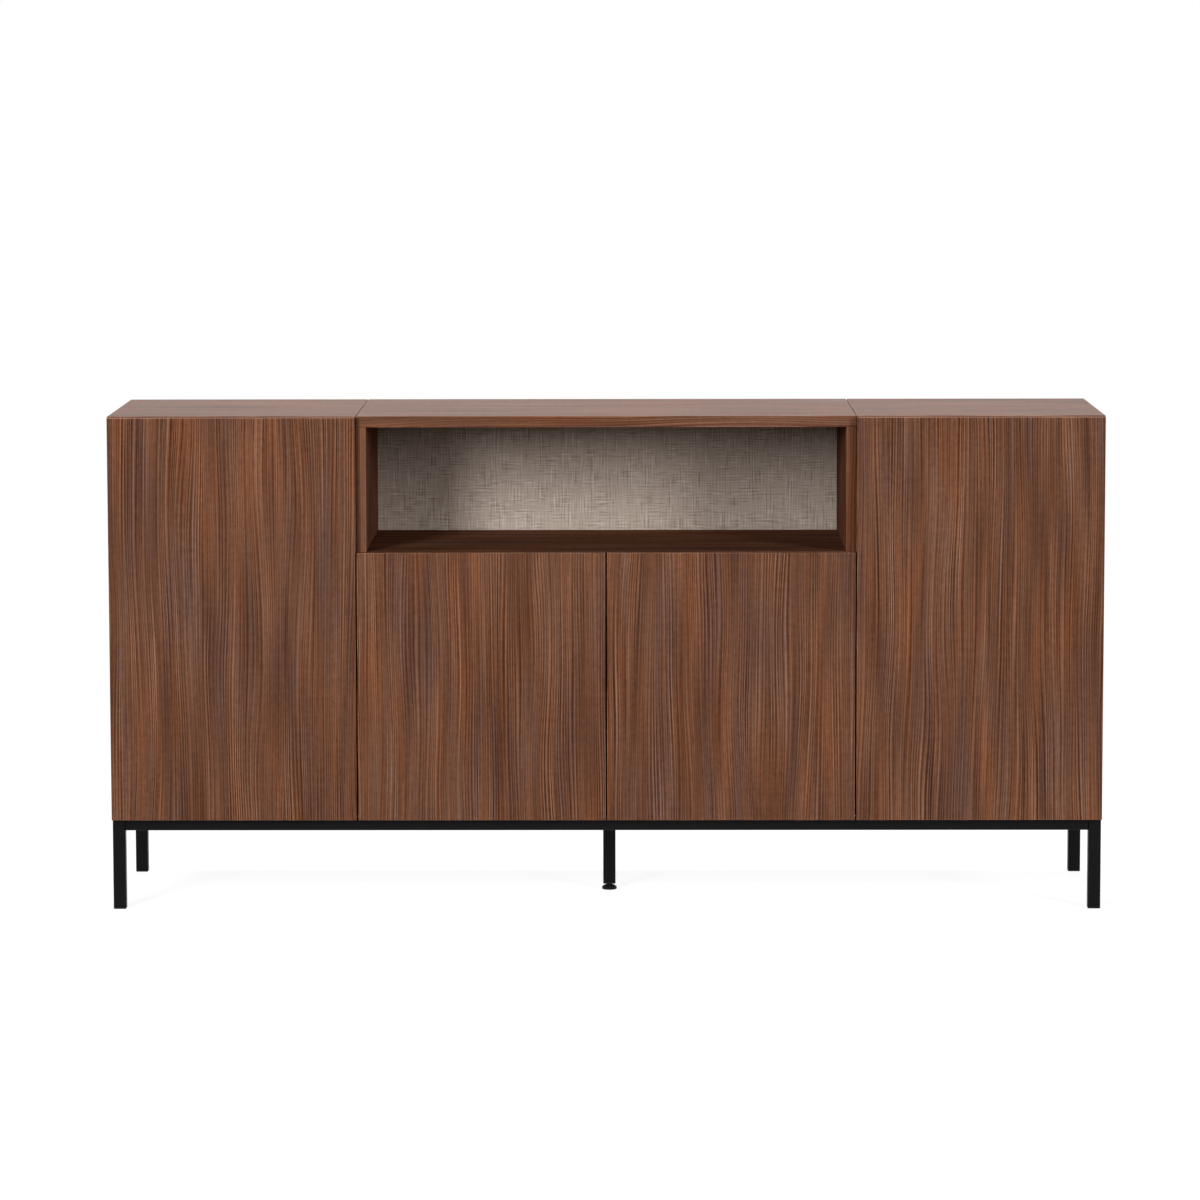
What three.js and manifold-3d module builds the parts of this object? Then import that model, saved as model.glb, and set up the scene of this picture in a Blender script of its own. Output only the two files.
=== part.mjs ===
// Office credenza: two tall cabinets with a wide one between them, on a bolted steel base.
// The wide cabinet has an open niche above a pair of doors. All four doors open with a push.
// Millimetres, +Z up. The doors face -Y, and the origin is on the floor under the middle.

import * as THREE from "three";
import { mergeVertices } from "three/addons/utils/BufferGeometryUtils.js";
import Module from "manifold-3d";

const wasm = await Module();
wasm.setup();

// Overall sizes
const tallCabinetWidth = 448.5;
const wideCabinetWidth = 903;
const overallDepth = 450; // door faces to back edges
const overallHeight = 900; // floor to top surface
const baseHeight = 168; // floor to the cabinets' underside
const nicheHeight = 226; // clear height of the open niche

// Boards
const boardThickness = 18; // sides, bottoms, shelves and the niche floor
const topThickness = 20;
const doorThickness = 18;
const backThickness = 12;
const backInset = 20; // backs inside the rear edges of the boards around them
const jointGap = 0.3; // hairline between pieces that are fastened together
const shelfSetback = 25; // shelf edge behind the cabinet's front edge
const tallShelfHeight = 342; // clear height under a tall cabinet's shelf
const wideShelfHeight = 213; // clear height under the wide cabinet's shelf

// Doors
const doorSpacing = 3; // between the edges of neighbouring doors
const doorReveal = 1.5; // tall door's upper end below the top surface
const doorDrop = 1.5; // door's lower end below the cabinets' underside
const doorStandoff = 2; // closed door to the cabinet's front edge
const axisFromEdge = 5; // swing axis to the door's hinged edge
const axisFromFace = 5; // swing axis to the door's front face

// Concealed hinges: a cup let into the door and an arm on the cabinet's side
const hingeFromDoorEnd = 90; // door's top or bottom end to the middle of a hinge
const cupDiameter = 35;
const cupDepth = 11.5;
const cupWall = 1;
const cupEdgeDistance = 5; // door edge to the rim of the cup
const cupClearance = 0.3; // all round a cup in its bore
const flangeLength = 62;
const flangeWidth = 25;
const flangeThickness = 1;
const armWidth = 12;
const armThickness = 8;
const armReach = 8; // arm's nose inside the closed cup
const armLength = 66; // arm behind the cabinet's front edge
const armSwingClearance = 0.7; // nose to the cup's rim as it swings past
const plateLength = 44; // mounting plate along the side
const plateHeight = 30;
const plateSetback = 22; // mounting plate behind the cabinet's front edge

// Push latches, hung under the board above each door's free edge
const latchFromEdge = 46; // door's free edge to the middle of its latch
const latchWidth = 14;
const latchHeight = 16;
const latchLength = 72;
const latchSetback = 1; // housing behind the cabinet's front edge
const plungerDiameter = 8;
const plungerLength = 48;
const plungerTravel = 3; // push that releases the latch
const plungerClearance = 0.3; // all round a plunger in its bore
const plungerTipGap = 0.5; // tip to the closed door's back
const plungerChamfer = 1;

// Steel base of square tube
const tubeSize = 23;
const tubeWall = 1.5;
const baseInset = 1; // base inside the cabinets' outline, all round
const glideHeight = 4; // glide below the end of its tube
const glidePlugLength = 14; // glide inside its tube
const glideChamfer = 1.5;
const plugClearance = 0.3; // all round a plug in its tube
const centreLegOffset = 4; // centre leg to the right of the middle
const threadPlate = 5; // threaded plate that closes the centre leg

// Levelling foot under the centre leg
const screwDiameter = 8;
const screwLength = 52;
const screwClearance = 0.3; // all round the screw in the plate and in the pad
const padDiameter = 27.6;
const padHeight = 9.4;
const padCollarDiameter = 12;
const padCollarHeight = 1.8;
const padSocketDepth = 4;
const padEdgeRound = 1.6;
const padToLeg = 0.3; // pad's collar to the end of the centre leg's tube

// Sides of a round piece
const roundSteps = 32;
const cutOverrun = 1; // length by which a cut runs past the face that it opens

// Places that follow from the sizes
const overallWidth = 2 * tallCabinetWidth + wideCabinetWidth;
const doorFaceY = -overallDepth / 2;
const cabinetFrontY = doorFaceY + doorThickness + doorStandoff;
const cabinetDepth = overallDepth / 2 - cabinetFrontY;
const cabinetHeight = overallHeight - baseHeight;
const topUnderside = cabinetHeight - topThickness;
const nicheFloorTop = topUnderside - nicheHeight;
const nicheFloorUnderside = nicheFloorTop - boardThickness;
const backFront = cabinetDepth - backInset - backThickness;

// Materials
function finish(color, roughness, metalness) {
  return new THREE.MeshStandardMaterial({ color, roughness, metalness });
}

const walnut = finish(0x6e4b3a, 0.5, 0);
const linen = finish(0x9b9186, 0.8, 0);
const blackSteel = finish(0x17181a, 0.45, 0.6);
const blackPlastic = finish(0x101011, 0.55, 0);
const nickel = finish(0xb9b8b4, 0.3, 1);
const zincSteel = finish(0x9c9d9f, 0.4, 1);
const greyPlastic = finish(0x8b8d90, 0.5, 0);

// A box between two opposite corners, each given as [x, y, z].
function boxBetween(low, high) {
  const size = high.map((value, i) => value - low[i]);
  const centre = high.map((value, i) => (value + low[i]) / 2);
  return new THREE.BoxGeometry(...size).translate(...centre);
}

// A round bar along Y, from one Y to another.
function barAlongY(radius, from, to) {
  const bar = new THREE.CylinderGeometry(radius, radius, to - from, roundSteps);
  return bar.translate(0, (from + to) / 2, 0);
}

// A slot-shaped outline, round at both ends and lying along Y.
function slotOutline(width, length) {
  const radius = width / 2;
  const straight = length / 2 - radius;
  const outline = new THREE.Shape();
  outline.absarc(0, straight, radius, 0, Math.PI);
  outline.absarc(0, -straight, radius, Math.PI, 2 * Math.PI);
  return outline;
}

// An outline in the XY plane, thickened upwards from z = 0.
function thicken(outline, depth) {
  const curveSegments = roundSteps / 4;
  return new THREE.ExtrudeGeometry(outline, { depth, curveSegments, bevelEnabled: false });
}

// A closed geometry as a solid that can be cut and joined.
function toSolid(geometry) {
  const bare = geometry.index ? geometry.toNonIndexed() : geometry.clone();
  bare.deleteAttribute("normal");
  bare.deleteAttribute("uv");
  const merged = mergeVertices(bare);
  return new wasm.Manifold(
    new wasm.Mesh({
      numProp: 3,
      vertProperties: merged.attributes.position.array,
      triVerts: new Uint32Array(merged.index.array),
    }),
  );
}

// A solid's surface as a flat-shaded geometry.
function toGeometry(solid) {
  const surface = solid.getMesh();
  const geometry = new THREE.BufferGeometry();
  geometry.setAttribute("position", new THREE.BufferAttribute(surface.vertProperties, 3));
  geometry.setIndex(new THREE.BufferAttribute(surface.triVerts, 1));
  const flat = geometry.toNonIndexed();
  flat.computeVertexNormals();
  return flat;
}

// The joined geometries, less the ones that are cut away.
function combine(joined, cuts) {
  const whole = joined.map(toSolid).reduce((sum, solid) => sum.add(solid));
  return toGeometry(cuts.map(toSolid).reduce((rest, cut) => rest.subtract(cut), whole));
}

function addPiece(group, name, geometry, material) {
  const piece = new THREE.Mesh(geometry, material);
  piece.name = name;
  group.add(piece);
}

function addBoard(group, name, low, high, material) {
  addPiece(group, name, boxBetween(low, high), material);
}

// Cabinets. A cabinet's frame has its origin at the left end of its bottom front edge, with
// the space that it takes up in the row running from x = 0 to x = width.

// The top lies on both sides, and the bottom stands between them.
function makeCabinet(name, width) {
  const cabinet = new THREE.Group();
  const left = jointGap / 2;
  const right = width - jointGap / 2;
  const sideTop = topUnderside - jointGap;
  const sideEdges = {
    left: [left, left + boardThickness],
    right: [right - boardThickness, right],
  };
  for (const [hand, [x0, x1]] of Object.entries(sideEdges)) {
    addBoard(cabinet, `${name}_${hand}_side`, [x0, 0, 0], [x1, cabinetDepth, sideTop], walnut);
  }
  addBoard(cabinet, `${name}_top`, [left, 0, topUnderside],
    [right, cabinetDepth, cabinetHeight], walnut);
  addInsideBoard(cabinet, `${name}_bottom`, width, [0, cabinetDepth], [0, boardThickness]);
  return cabinet;
}

// A board fitted between a cabinet's two sides.
function addInsideBoard(cabinet, name, width, [y0, y1], [z0, z1], material = walnut) {
  const inset = jointGap / 2 + boardThickness + jointGap;
  addBoard(cabinet, name, [inset, y0, z0], [width - inset, y1, z1], material);
}

function addShelf(cabinet, name, width, clearHeight) {
  const underside = boardThickness + clearHeight;
  const depthSpan = [shelfSetback, backFront - jointGap];
  addInsideBoard(cabinet, name, width, depthSpan, [underside, underside + boardThickness]);
}

// A back stands between two boards, whose facing surfaces are at the heights given.
function addBack(cabinet, name, width, below, above, material) {
  const heightSpan = [below + jointGap, above - jointGap];
  addInsideBoard(cabinet, name, width, [backFront, backFront + backThickness], heightSpan, material);
}

function makeTallCabinet(name) {
  const cabinet = makeCabinet(name, tallCabinetWidth);
  addShelf(cabinet, `${name}_shelf`, tallCabinetWidth, tallShelfHeight);
  addBack(cabinet, `${name}_back`, tallCabinetWidth, boardThickness, topUnderside, walnut);
  return cabinet;
}

function makeWideCabinet(name) {
  const cabinet = makeCabinet(name, wideCabinetWidth);
  addInsideBoard(cabinet, "niche_floor", wideCabinetWidth, [0, cabinetDepth],
    [nicheFloorUnderside, nicheFloorTop]);
  addBack(cabinet, "niche_back", wideCabinetWidth, nicheFloorTop, topUnderside, linen);
  addShelf(cabinet, `${name}_shelf`, wideCabinetWidth, wideShelfHeight);
  addBack(cabinet, `${name}_back`, wideCabinetWidth, boardThickness, nicheFloorUnderside, walnut);
  return cabinet;
}

// Concealed hinges. A hinge's frame has its origin at the middle of the hinge, on the corner
// between the door's hinged edge and its face. hand is 1 where the door runs towards +X from
// that edge, and -1 where it runs towards -X.

const cupCentre = cupEdgeDistance + cupDiameter / 2;
const cupBottom = doorThickness - cupDepth;
const flangeBack = doorThickness + jointGap + flangeThickness;

// A cup is drawn steel, with a flange that lies on the back of the door.
function makeCup() {
  const radius = cupDiameter / 2;
  const bowl = barAlongY(radius, cupBottom, flangeBack);
  const flange = thicken(slotOutline(flangeWidth, flangeLength), flangeThickness);
  flange.rotateX(-Math.PI / 2).translate(0, doorThickness + jointGap, 0);
  const hollow = barAlongY(radius - cupWall, cupBottom + cupWall, flangeBack + cutOverrun);
  return combine([bowl, flange], [hollow]);
}

// The arm is clear of the circle that the cup's rim sweeps, and its plate lies on the side.
function makeArm(hand) {
  const sideFace = jointGap / 2 + boardThickness - doorSpacing / 2;
  const rimSweep = Math.hypot(cupEdgeDistance - axisFromEdge, flangeBack - axisFromFace);
  const armInner = axisFromEdge + rimSweep + armSwingClearance;
  const armCentre = armInner + armThickness / 2;
  const sideFront = doorThickness + doorStandoff;
  const noseTip = doorThickness - armReach;
  const strip = slotOutline(armThickness, sideFront + armLength - noseTip);
  const arm = thicken(strip, armWidth);
  const armMiddle = (noseTip + sideFront + armLength) / 2;
  arm.translate(hand * armCentre, armMiddle, -armWidth / 2);
  const plateFaces = [hand * (sideFace + jointGap), hand * armCentre].sort((a, b) => a - b);
  const plate = boxBetween(
    [plateFaces[0], sideFront + plateSetback, -plateHeight / 2],
    [plateFaces[1], sideFront + plateSetback + plateLength, plateHeight / 2],
  );
  return combine([arm, plate], []);
}

function addHinge(row, name, hand, x, z) {
  const hinge = new THREE.Group();
  hinge.position.set(x, doorFaceY, z);
  const cup = makeCup().translate(hand * cupCentre, 0, 0);
  addPiece(hinge, `${name}_cup`, cup, nickel);
  addPiece(hinge, `${name}_arm`, makeArm(hand), nickel);
  row.add(hinge);
}

// Push latches. A latch's frame has its origin on the cabinet's front edge, at the underside
// of the board that the housing hangs from.

function addLatch(row, name, x, z) {
  const latch = new THREE.Group();
  latch.position.set(x, cabinetFrontY, z);
  const axisZ = -jointGap - latchHeight / 2;
  const tip = plungerTipGap - doorStandoff;
  const boreEnd = tip + plungerLength + plungerTravel + jointGap;
  const bore = barAlongY(plungerDiameter / 2 + plungerClearance, latchSetback - cutOverrun, boreEnd);
  const shell = boxBetween(
    [-latchWidth / 2, latchSetback, -jointGap - latchHeight],
    [latchWidth / 2, latchSetback + latchLength, -jointGap],
  );
  addPiece(latch, `${name}_housing`, combine([shell], [bore.translate(0, 0, axisZ)]), greyPlastic);
  const radius = plungerDiameter / 2;
  const profile = [
    new THREE.Vector2(0, tip),
    new THREE.Vector2(radius - plungerChamfer, tip),
    new THREE.Vector2(radius, tip + plungerChamfer),
    new THREE.Vector2(radius, tip + plungerLength),
    new THREE.Vector2(0, tip + plungerLength),
  ];
  const plunger = new THREE.LatheGeometry(profile, roundSteps).translate(0, 0, axisZ);
  addPiece(latch, `${name}_plunger`, plunger, blackPlastic);
  row.add(latch);
}

// Doors. A door is bored for its two hinge cups. Its frame has its origin on the swing axis,
// level with the door's lower end, so that turning the frame about Z swings the door.

function makeDoorBoard(hand, width, height, hingeHeights) {
  const edges = [-hand * axisFromEdge, hand * (width - axisFromEdge)].sort((a, b) => a - b);
  const board = boxBetween(
    [edges[0], -axisFromFace, 0],
    [edges[1], doorThickness - axisFromFace, height],
  );
  const boreX = hand * (cupCentre - axisFromEdge);
  const bores = hingeHeights.map((z) => {
    const from = cupBottom - jointGap - axisFromFace;
    const to = doorThickness - axisFromFace + cutOverrun;
    return barAlongY(cupDiameter / 2 + cupClearance, from, to).translate(boreX, 0, z);
  });
  return combine([board], bores);
}

// The door's space runs from hingedX to freeX, half of doorSpacing wider at each edge. Its latch
// hangs from a board whose underside is at latchZ.
function addDoor(row, name, hingedX, freeX, upperEnd, latchZ) {
  const hand = Math.sign(freeX - hingedX);
  const width = Math.abs(freeX - hingedX) - doorSpacing;
  const edgeX = hingedX + (hand * doorSpacing) / 2;
  const lowerEnd = baseHeight - doorDrop;
  const height = upperEnd - lowerEnd;
  const hingeHeights = { lower: hingeFromDoorEnd, upper: height - hingeFromDoorEnd };
  const door = new THREE.Group();
  door.position.set(edgeX + hand * axisFromEdge, doorFaceY + axisFromFace, lowerEnd);
  const bored = makeDoorBoard(hand, width, height, Object.values(hingeHeights));
  addPiece(door, name, bored, walnut);
  row.add(door);
  for (const [place, z] of Object.entries(hingeHeights)) {
    addHinge(row, `${name}_${place}_hinge`, hand, edgeX, lowerEnd + z);
  }
  const latchX = freeX - hand * (doorSpacing / 2 + latchFromEdge);
  addLatch(row, `${name}_latch`, latchX, latchZ);
}

// Steel base. Its frame has its origin on the floor, at the left front corner of the base.

const baseWidth = overallWidth - 2 * baseInset;
const baseDepth = cabinetDepth - 2 * baseInset;
const baseTop = baseHeight - jointGap;
const centreLegLift = padHeight + padCollarHeight + padToLeg;
const railBottom = baseTop - tubeSize;

// Two legs and the cross rail welded between them. The legs are open below for their glides.
function makeEndFrame() {
  const legFoot = glideHeight + jointGap;
  const rearLegY = baseDepth - tubeSize;
  const tubes = [
    boxBetween([0, 0, legFoot], [tubeSize, tubeSize, baseTop]),
    boxBetween([0, rearLegY, legFoot], [tubeSize, baseDepth, baseTop]),
    boxBetween([0, 0, railBottom], [tubeSize, baseDepth, baseTop]),
  ];
  const inner = tubeSize - tubeWall;
  const hollows = [0, rearLegY].map((y) =>
    boxBetween(
      [tubeWall, y + tubeWall, legFoot - cutOverrun],
      [inner, y + inner, baseTop - tubeWall],
    ),
  );
  hollows.push(
    boxBetween(
      [tubeWall, tubeWall, railBottom + tubeWall],
      [inner, baseDepth - tubeWall, baseTop - tubeWall],
    ),
  );
  return combine(tubes, hollows);
}

// A rail is open at its ends, which butt against the two end frames.
function makeLongRail() {
  const length = baseWidth - 2 * (tubeSize + jointGap);
  const tube = boxBetween([0, 0, 0], [length, tubeSize, tubeSize]);
  const hollow = boxBetween(
    [-cutOverrun, tubeWall, tubeWall],
    [length + cutOverrun, tubeSize - tubeWall, tubeSize - tubeWall],
  );
  return combine([tube], [hollow]);
}

// A cross rail with the centre leg welded under its middle, around the leg's own axis in X.
function makeCentreFrame() {
  const half = tubeSize / 2;
  const innerHalf = half - tubeWall;
  const front = tubeSize + jointGap;
  const rear = baseDepth - tubeSize - jointGap;
  const middleY = baseDepth / 2;
  const tubes = [
    boxBetween([-half, front, railBottom], [half, rear, baseTop]),
    boxBetween([-half, middleY - half, centreLegLift], [half, middleY + half, baseTop]),
  ];
  const railHollow = boxBetween(
    [-innerHalf, front - cutOverrun, railBottom + tubeWall],
    [innerHalf, rear + cutOverrun, baseTop - tubeWall],
  );
  const legHollow = boxBetween(
    [-innerHalf, middleY - innerHalf, centreLegLift + threadPlate],
    [innerHalf, middleY + innerHalf, baseTop - tubeWall],
  );
  const hole = uprightBar(
    screwDiameter / 2 + screwClearance,
    centreLegLift - cutOverrun,
    centreLegLift + threadPlate + cutOverrun,
  );
  return combine(tubes, [railHollow, legHollow, hole.translate(0, middleY, 0)]);
}

function uprightBar(radius, from, to) {
  const bar = new THREE.CylinderGeometry(radius, radius, to - from, roundSteps);
  return bar.rotateX(Math.PI / 2).translate(0, 0, (from + to) / 2);
}

// A square block around the Z axis whose lower end is narrower, as a chamfer.
function squareTaper(lowerSide, upperSide, from, to) {
  const cornerRadius = (side) => (side / 2) * Math.SQRT2;
  const sides = 4;
  const taper = new THREE.CylinderGeometry(
    cornerRadius(upperSide), cornerRadius(lowerSide), to - from, sides);
  taper.rotateY(Math.PI / sides).rotateX(Math.PI / 2);
  return taper.translate(0, 0, (from + to) / 2);
}

// A glide has a chamfered sole and a plug that is driven into the leg.
function makeGlide() {
  const plugSide = tubeSize - 2 * (tubeWall + plugClearance);
  const soleSide = tubeSize - 2 * glideChamfer;
  return combine(
    [
      squareTaper(soleSide, tubeSize, 0, glideChamfer),
      squareTaper(tubeSize, tubeSize, glideChamfer, glideHeight),
      squareTaper(plugSide, plugSide, glideHeight - cutOverrun, glideHeight + glidePlugLength),
    ],
    [],
  );
}

// A pad is turned, with a collar and a socket for the screw's lower end.
function makePad() {
  const rim = padDiameter / 2;
  const collar = padCollarDiameter / 2;
  const socket = screwDiameter / 2 + screwClearance;
  const crown = padHeight + padCollarHeight;
  const profile = new THREE.Path();
  profile.moveTo(0, 0);
  profile.lineTo(rim - padEdgeRound, 0);
  profile.absarc(rim - padEdgeRound, padEdgeRound, padEdgeRound, -Math.PI / 2, 0);
  profile.quadraticCurveTo(rim, padHeight, collar, padHeight);
  profile.lineTo(collar, crown);
  profile.lineTo(socket, crown);
  profile.lineTo(socket, crown - padSocketDepth);
  profile.lineTo(0, crown - padSocketDepth);
  const curveSteps = 6;
  const pad = new THREE.LatheGeometry(profile.getPoints(curveSteps), roundSteps);
  return pad.rotateX(Math.PI / 2);
}

function makeScrew() {
  const foot = padHeight + padCollarHeight - padSocketDepth + jointGap;
  return uprightBar(screwDiameter / 2, foot, foot + screwLength);
}

function makeBase() {
  const base = new THREE.Group();
  const farX = baseWidth - tubeSize;
  const farY = baseDepth - tubeSize;
  addPiece(base, "base_left_frame", makeEndFrame(), blackSteel);
  addPiece(base, "base_right_frame", makeEndFrame().translate(farX, 0, 0), blackSteel);
  for (const [place, y] of Object.entries({ front: 0, rear: farY })) {
    const rail = makeLongRail().translate(tubeSize + jointGap, y, railBottom);
    addPiece(base, `base_${place}_rail`, rail, blackSteel);
    for (const [end, x] of Object.entries({ left: 0, right: farX })) {
      const glide = makeGlide().translate(x + tubeSize / 2, y + tubeSize / 2, 0);
      addPiece(base, `${place}_${end}_glide`, glide, blackPlastic);
    }
  }
  const legX = baseWidth / 2 + centreLegOffset;
  addPiece(base, "base_centre_frame", makeCentreFrame().translate(legX, 0, 0), blackSteel);
  const pad = makePad().translate(legX, baseDepth / 2, 0);
  addPiece(base, "levelling_pad", pad, blackPlastic);
  const screw = makeScrew().translate(legX, baseDepth / 2, 0);
  addPiece(base, "levelling_screw", screw, zincSteel);
  return base;
}

// The whole credenza
const credenza = new THREE.Group();

const base = makeBase();
base.position.set(baseInset - overallWidth / 2, cabinetFrontY + baseInset, 0);
credenza.add(base);

const outerX = overallWidth / 2;
const innerX = wideCabinetWidth / 2;
const cabinets = [
  [makeTallCabinet("left_cabinet"), -outerX],
  [makeWideCabinet("centre_cabinet"), -innerX],
  [makeTallCabinet("right_cabinet"), innerX],
];
for (const [cabinet, x] of cabinets) {
  cabinet.position.set(x, cabinetFrontY, baseHeight);
  credenza.add(cabinet);
}

// A low door ends level with the niche floor.
const tallHeights = [overallHeight - doorReveal, baseHeight + topUnderside];
const lowHeights = [baseHeight + nicheFloorTop, baseHeight + nicheFloorUnderside];
addDoor(credenza, "left_door", -outerX, -innerX, ...tallHeights);
addDoor(credenza, "centre_left_door", -innerX, 0, ...lowHeights);
addDoor(credenza, "centre_right_door", innerX, 0, ...lowHeights);
addDoor(credenza, "right_door", outerX, innerX, ...tallHeights);

export default credenza;
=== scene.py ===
"""An office credenza: two tall cabinets and a wide one with an open niche, on a steel base.

The sections follow the object as it is put together. Metres, +Z up, and the doors face -Y.
"""

import math

import bmesh
import bpy
import numpy as np
from mathutils import Matrix, Vector


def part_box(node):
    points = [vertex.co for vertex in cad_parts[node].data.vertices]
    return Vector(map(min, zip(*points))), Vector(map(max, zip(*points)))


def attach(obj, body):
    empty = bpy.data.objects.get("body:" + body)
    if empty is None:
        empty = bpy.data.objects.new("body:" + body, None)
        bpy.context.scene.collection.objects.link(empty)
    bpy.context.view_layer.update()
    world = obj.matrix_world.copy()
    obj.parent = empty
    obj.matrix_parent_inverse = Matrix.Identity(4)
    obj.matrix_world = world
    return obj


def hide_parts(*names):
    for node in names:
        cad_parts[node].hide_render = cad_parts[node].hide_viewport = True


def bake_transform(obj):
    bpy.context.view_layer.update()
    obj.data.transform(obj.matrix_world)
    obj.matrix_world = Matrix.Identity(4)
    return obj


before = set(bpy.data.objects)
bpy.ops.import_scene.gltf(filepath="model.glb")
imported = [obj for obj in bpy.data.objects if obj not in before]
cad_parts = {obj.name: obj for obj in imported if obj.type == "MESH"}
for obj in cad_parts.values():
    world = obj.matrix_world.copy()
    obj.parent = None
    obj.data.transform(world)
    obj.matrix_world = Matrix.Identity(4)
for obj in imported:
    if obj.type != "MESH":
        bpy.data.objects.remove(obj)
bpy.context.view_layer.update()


# Studio. A long lens stands far in front and a little above, with a softbox on a stand to each
# side of it, one overhead and a weak one behind. The floor and the surround look white to the
# camera and in reflections, and light the object less than they look.


def put(tree, kind, inputs, **settings):
    """Adds a shader node and returns its outputs. Each input takes a value or an output."""
    made = tree.nodes.new(kind)
    for key, value in settings.items():
        setattr(made, key, value)
    for key, value in inputs.items():
        if isinstance(value, bpy.types.NodeSocket):
            tree.links.new(value, made.inputs[key])
        else:
            made.inputs[key].default_value = value
    return made.outputs


def calculated(tree, operation, *values):
    """A Math node's result from values or outputs."""
    return put(tree, "ShaderNodeMath", dict(enumerate(values)), operation=operation)[0]


def vectored(tree, operation, *vectors):
    """A Vector Math node's outputs from vectors or outputs."""
    return put(tree, "ShaderNodeVectorMath", dict(enumerate(vectors)), operation=operation)


def seen_directly(tree):
    """1 for rays from the camera, a reflection or glass, and 0 for rays that gather light."""
    rays = put(tree, "ShaderNodeLightPath", {})
    mirrored = calculated(tree, "MAXIMUM", rays["Is Glossy Ray"], rays["Is Transmission Ray"])
    return calculated(tree, "MAXIMUM", rays["Is Camera Ray"], mirrored)


def link(piece):
    """Puts an object into the scene."""
    bpy.context.scene.collection.objects.link(piece)
    return piece


scene = bpy.context.scene
scene.view_settings.view_transform = "Standard"

camera_place = (0.0482, -9.0054, 1.5621)
camera_pitch = 0.11265
camera_yaw = -0.00675
camera_roll = -0.00165
camera_data = bpy.data.cameras.new("camera")
camera_data.sensor_width = 36.0
camera_data.lens = 146.87
camera = link(bpy.data.objects.new("camera", camera_data))
camera.matrix_world = (
    Matrix.Translation(camera_place)
    @ Matrix.Rotation(-camera_yaw, 4, "Z")
    @ Matrix.Rotation(math.pi / 2 - camera_pitch, 4, "X")
    @ Matrix.Rotation(camera_roll, 4, "Z")
)
scene.camera = camera

surround_light = 0.045
surround_tint = (1.0, 0.88, 0.68, 1.0)
surround = bpy.data.worlds.new("surround")
surround.use_nodes = True
scene.world = surround
surround_tree = surround.node_tree
white = (1.0, 1.0, 1.0, 1.0)
gathered = put(
    surround_tree, "ShaderNodeBackground", {"Color": surround_tint, "Strength": surround_light}
)
shown = put(surround_tree, "ShaderNodeBackground", {"Color": white, "Strength": 1.0})
surround_mix = put(
    surround_tree, "ShaderNodeMixShader", {0: seen_directly(surround_tree), 1: gathered[0], 2: shown[0]}
)
surround_tree.links.new(surround_mix[0], surround_tree.nodes["World Output"].inputs["Surface"])

# Each softbox: its place, the point that it faces, its width and height, and its power.
softboxes = {
    "left_softbox": ((-3.32, -6.6, 2.7), (0.0, -0.2, 0.7), (1.44, 2.6), 338.0),
    "right_softbox": ((4.5, -5.5, 2.45), (0.0, -0.2, 0.7), (1.44, 2.3), 208.0),
    "overhead_softbox": ((0.0, 0.25, 2.7), (0.0, 0.25, 0.0), (2.4, 0.6), 31.0),
    "rear_softbox": ((0.0, 5.5, 1.8), (0.0, 0.2, 0.5), (3.6, 2.2), 80.0),
}
for name, (place, aim, size, power) in softboxes.items():
    lamp = bpy.data.lights.new(name, "AREA")
    lamp.shape = "RECTANGLE"
    lamp.size, lamp.size_y = size
    lamp.energy = power
    softbox = link(bpy.data.objects.new(name, lamp))
    softbox.location = place
    softbox.rotation_euler = (Vector(aim) - Vector(place)).to_track_quat("-Z", "Y").to_euler()
    softbox.visible_camera = False
    # Only the white surround shows in reflections, so no lamp burns out a top seen at a slant.
    softbox.visible_glossy = False

floor_glow = 0.89
floor_near, floor_far = 2.5, 6.0
floor_material = bpy.data.materials.new("pale_floor")
floor_material.use_nodes = True
floor_tree = floor_material.node_tree
floor_tree.nodes.remove(floor_tree.nodes["Principled BSDF"])
floor_grey = (0.35, 0.35, 0.35, 1.0)
floor_paint = put(floor_tree, "ShaderNodeBsdfDiffuse", {"Color": floor_grey})
floor_shine = put(floor_tree, "ShaderNodeEmission", {"Color": white, "Strength": floor_glow})
floor_sum = put(floor_tree, "ShaderNodeAddShader", {0: floor_paint[0], 1: floor_shine[0]})
floor_place = put(floor_tree, "ShaderNodeTexCoord", {})["Object"]
floor_distance = vectored(floor_tree, "LENGTH", floor_place)["Value"]
floor_fade = put(
    floor_tree,
    "ShaderNodeMapRange",
    {"Value": floor_distance, "From Min": floor_near, "From Max": floor_far},
)
floor_plain = put(floor_tree, "ShaderNodeEmission", {"Color": white, "Strength": 1.0})
floor_look = put(
    floor_tree, "ShaderNodeMixShader", {0: floor_fade[0], 1: floor_sum[0], 2: floor_plain[0]}
)
floor_mix = put(
    floor_tree,
    "ShaderNodeMixShader",
    {0: seen_directly(floor_tree), 1: floor_paint[0], 2: floor_look[0]},
)
floor_tree.links.new(floor_mix[0], floor_tree.nodes["Material Output"].inputs["Surface"])
floor_reach = 60.0
floor_mesh = bpy.data.meshes.new("floor")
floor_corners = np.array([[-1, -1, 0], [1, -1, 0], [1, 1, 0], [-1, 1, 0]]) * floor_reach
floor_mesh.from_pydata(floor_corners.tolist(), [], [[0, 1, 2, 3]])
floor_mesh.materials.append(floor_material)
link(bpy.data.objects.new("floor", floor_mesh))


# Steel base. Square tube with round corners, welded into two end frames and a centre frame with
# two long rails bolted between them, then powder-coated satin black.


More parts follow.
